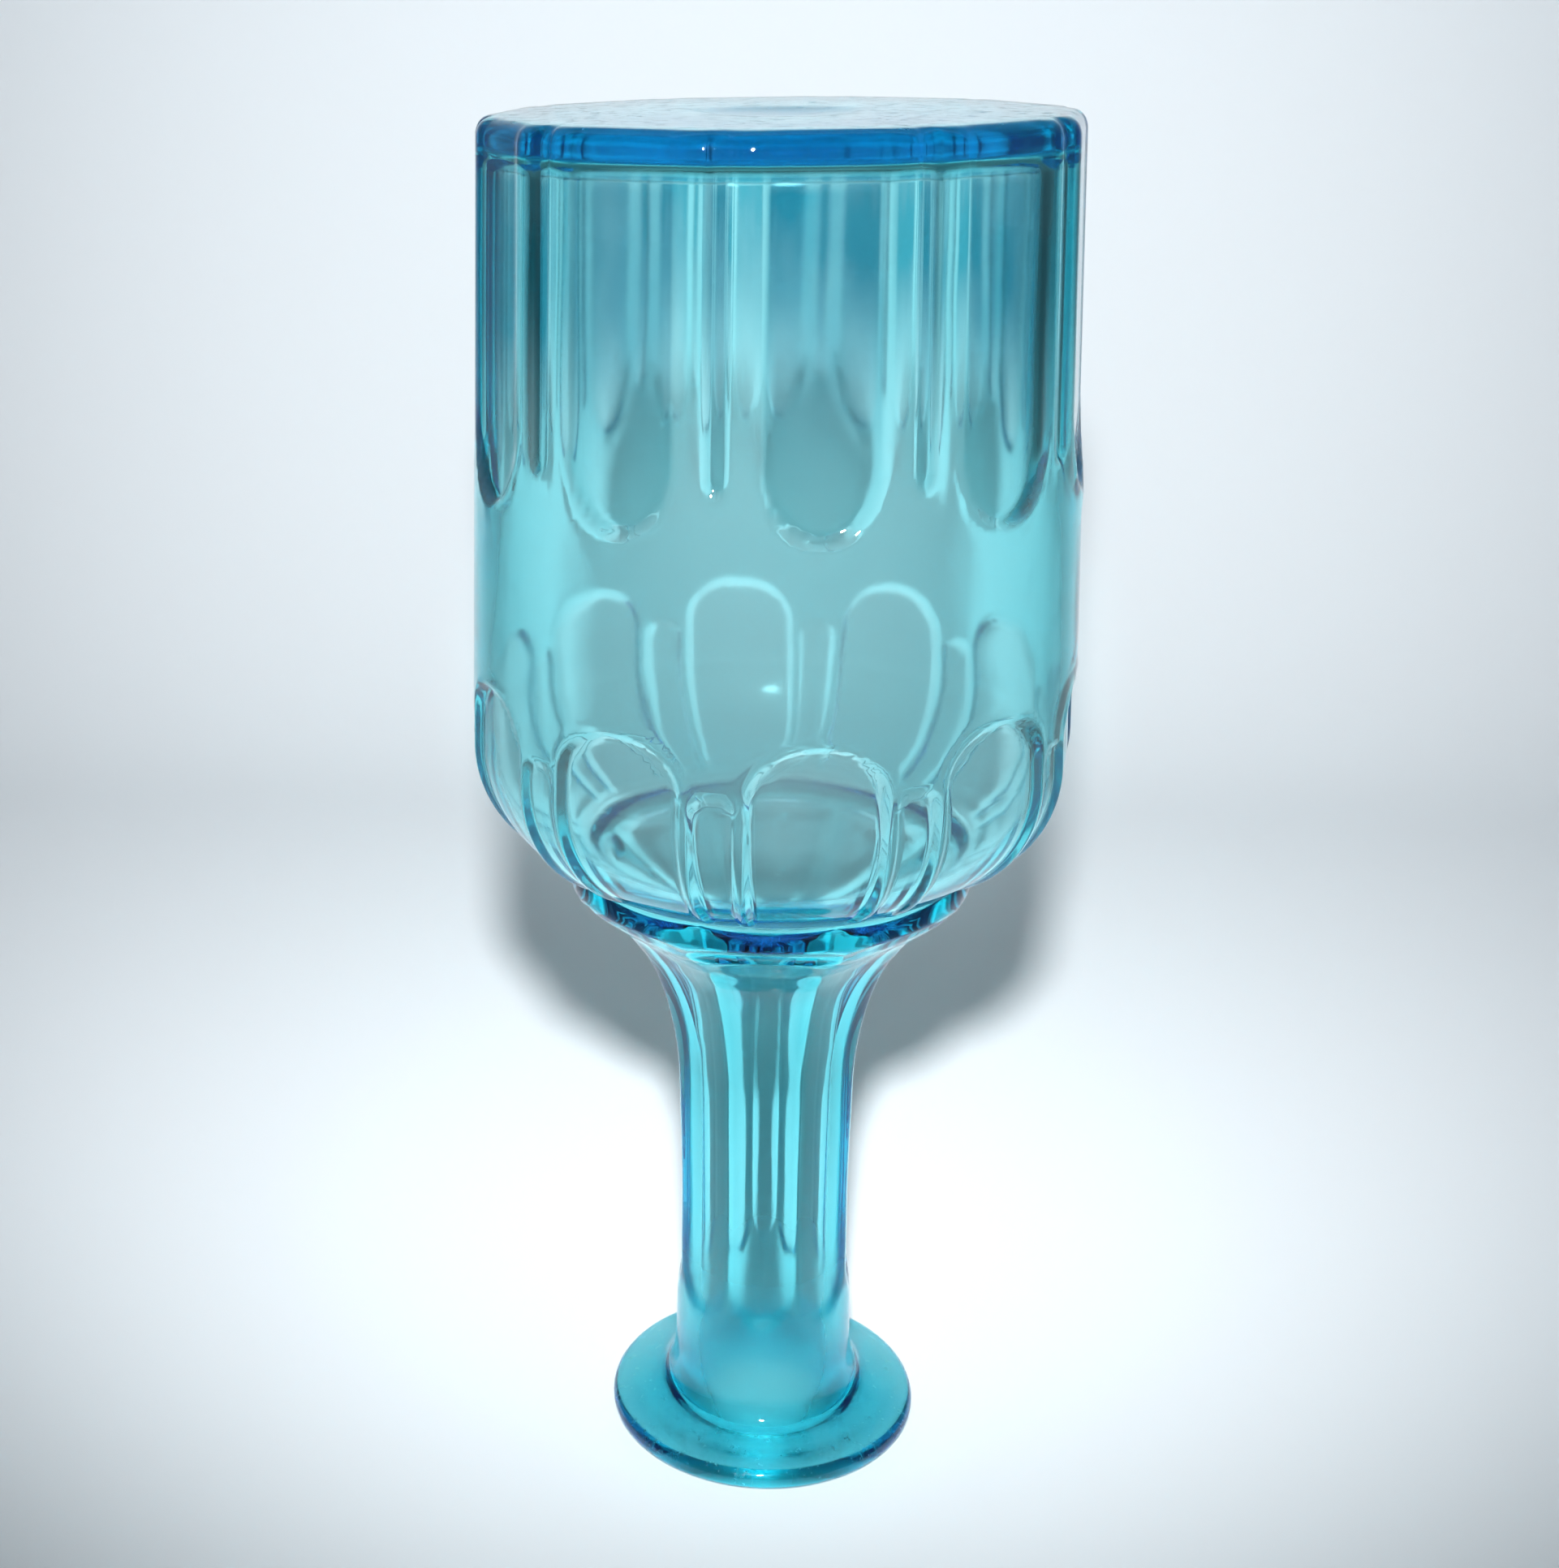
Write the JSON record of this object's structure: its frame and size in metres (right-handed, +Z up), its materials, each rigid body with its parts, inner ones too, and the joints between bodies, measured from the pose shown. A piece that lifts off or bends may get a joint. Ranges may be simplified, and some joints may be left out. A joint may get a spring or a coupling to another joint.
{
  "type": "glass decanter bottle",
  "caption": "Moulded aqua glass decanter bottle with pressed panels, faceted neck and wide flat lip, standing on its lip with its flat base up.",
  "frame": {"origin": "middle of the lip's flat face, on the surface that the bottle stands on", "axes": "+Z up the bottle's axis from lip to base, -Y towards the viewer, +X to the right"},
  "size_m": [0.108, 0.1078, 0.2517],
  "materials": {
    "glass_body": "fire-polished clear aqua glass",
    "glass_neck": "fire-polished clear aqua glass, ground inside the mouth",
    "glass_thick": "thick clear aqua glass, rubbed on the base"
  },
  "bodies": {
    "root": {"lip_ring": "glass_neck", "neck_tube": "glass_neck", "collar_ring": "glass_thick", "shoulder_bowl": "glass_body", "body_wall": "glass_body", "base_disc": "glass_thick"}
  },
  "joints": []
}
